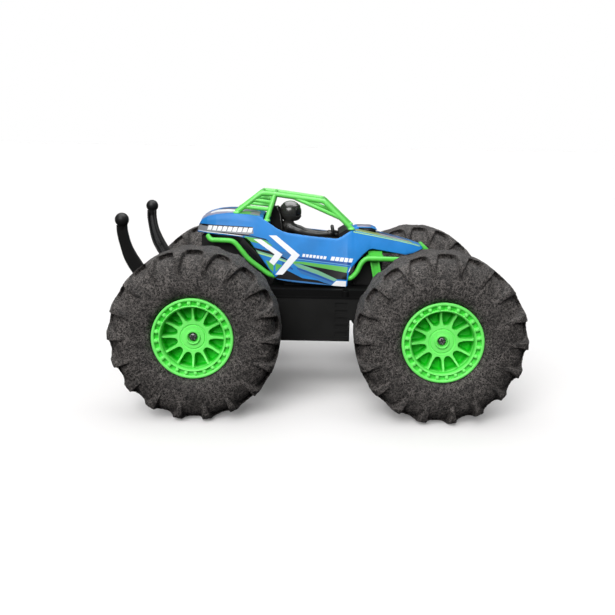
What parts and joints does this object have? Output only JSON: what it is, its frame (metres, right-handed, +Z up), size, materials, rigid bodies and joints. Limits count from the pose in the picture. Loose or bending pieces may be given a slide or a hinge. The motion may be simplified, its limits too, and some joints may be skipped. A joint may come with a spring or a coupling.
{
  "type": "rc stunt car",
  "caption": "Radio-controlled stunt car with balloon paddle tyres, a sealed hull, a buggy shell with a roll cage and two ball-ended wheelie arms.",
  "frame": {"origin": "on the ground, midway between the axles, on the centreline", "axes": "+X forward, +Y to the car's left, +Z up"},
  "size_m": [0.3651, 0.263, 0.196],
  "materials": {
    "tyre_rubber": "matte",
    "green_plastic": "satin",
    "steel": "satin",
    "white_nylon": "satin",
    "brass": "satin",
    "black_plastic": "matte",
    "black_gloss": "gloss",
    "black_rubber": "matte",
    "battery_wrap": "gloss",
    "circuit_board": "satin",
    "blue_plastic": "gloss"
  },
  "bodies": {
    "chassis": {"hull_tub": "black_plastic", "hull_lid": "black_plastic", "hull_screws": "steel", "axle_bushes": "brass", "shaft_seals": "black_rubber", "front_gear_frame": "black_plastic", "rear_gear_frame": "black_plastic", "front_motors": "steel", "rear_motors": "steel", "battery_door": "black_plastic", "door_gasket": "black_rubber", "battery_pack": "battery_wrap", "circuit_board": "circuit_board", "body_shell": "blue_plastic", "roll_cage": "green_plastic", "tube_frame_right": "green_plastic", "tube_frame_left": "green_plastic", "front_tower": "black_plastic", "rear_tower": "black_plastic", "front_strut_frame": "green_plastic", "hood_scoop": "blue_plastic", "front_bumper": "green_plastic", "wheelie_arm_right": "black_plastic", "wheelie_arm_left": "black_plastic", "wheelie_screws": "steel", "cockpit_tray": "black_plastic", "seat": "black_plastic", "driver_torso": "black_plastic", "driver_helmet": "black_gloss", "steering_wheel": "black_plastic", "dashboard": "black_plastic"},
    "power_switch": {"power_switch": "black_gloss"},
    "wheel_front_right": {"tyre_front_right": "tyre_rubber", "rim_front_right": "green_plastic", "beadlock_ring_front_right": "green_plastic", "wheel_screw_front_right": "steel", "stub_axle_front_right": "steel", "drive_gear_front_right": "white_nylon"},
    "pinion_front_right": {"pinion_front_right": "brass"},
    "wheel_front_left": {"tyre_front_left": "tyre_rubber", "rim_front_left": "green_plastic", "beadlock_ring_front_left": "green_plastic", "wheel_screw_front_left": "steel", "stub_axle_front_left": "steel", "drive_gear_front_left": "white_nylon"},
    "pinion_front_left": {"pinion_front_left": "brass"},
    "wheel_rear_right": {"tyre_rear_right": "tyre_rubber", "rim_rear_right": "green_plastic", "beadlock_ring_rear_right": "green_plastic", "wheel_screw_rear_right": "steel", "stub_axle_rear_right": "steel", "drive_gear_rear_right": "white_nylon"},
    "pinion_rear_right": {"pinion_rear_right": "brass"},
    "wheel_rear_left": {"tyre_rear_left": "tyre_rubber", "rim_rear_left": "green_plastic", "beadlock_ring_rear_left": "green_plastic", "wheel_screw_rear_left": "steel", "stub_axle_rear_left": "steel", "drive_gear_rear_left": "white_nylon"},
    "pinion_rear_left": {"pinion_rear_left": "brass"}
  },
  "joints": [
    {"name": "wheel_spin_front_right", "type": "hinge", "parent": "chassis", "child": "wheel_front_right", "pos_m": [0.107, -0.0985, 0.075], "axis": [0, 1, 0], "continuous": true},
    {"name": "pinion_spin_front_right", "type": "hinge", "parent": "chassis", "child": "pinion_front_right", "pos_m": [0.08675, -0.036, 0.075], "axis": [0, 1, 0], "continuous": true},
    {"name": "wheel_spin_front_left", "type": "hinge", "parent": "chassis", "child": "wheel_front_left", "pos_m": [0.107, 0.0985, 0.075], "axis": [0, 1, 0], "continuous": true},
    {"name": "pinion_spin_front_left", "type": "hinge", "parent": "chassis", "child": "pinion_front_left", "pos_m": [0.08675, 0.036, 0.075], "axis": [0, 1, 0], "continuous": true},
    {"name": "wheel_spin_rear_right", "type": "hinge", "parent": "chassis", "child": "wheel_rear_right", "pos_m": [-0.107, -0.0985, 0.075], "axis": [0, 1, 0], "continuous": true},
    {"name": "pinion_spin_rear_right", "type": "hinge", "parent": "chassis", "child": "pinion_rear_right", "pos_m": [-0.08675, -0.036, 0.075], "axis": [0, 1, 0], "continuous": true},
    {"name": "wheel_spin_rear_left", "type": "hinge", "parent": "chassis", "child": "wheel_rear_left", "pos_m": [-0.107, 0.0985, 0.075], "axis": [0, 1, 0], "continuous": true},
    {"name": "pinion_spin_rear_left", "type": "hinge", "parent": "chassis", "child": "pinion_rear_left", "pos_m": [-0.08675, 0.036, 0.075], "axis": [0, 1, 0], "continuous": true},
    {"name": "power_switch_slide", "type": "slide", "parent": "chassis", "child": "power_switch", "axis": [1, 0, 0], "range_m": [0, 0.004]}
  ],
  "couplings": [
    {"joint": "pinion_spin_front_right", "follows": "wheel_spin_front_right", "ratio": -3.5},
    {"joint": "pinion_spin_front_left", "follows": "wheel_spin_front_left", "ratio": -3.5},
    {"joint": "pinion_spin_rear_right", "follows": "wheel_spin_rear_right", "ratio": -3.5},
    {"joint": "pinion_spin_rear_left", "follows": "wheel_spin_rear_left", "ratio": -3.5}
  ]
}
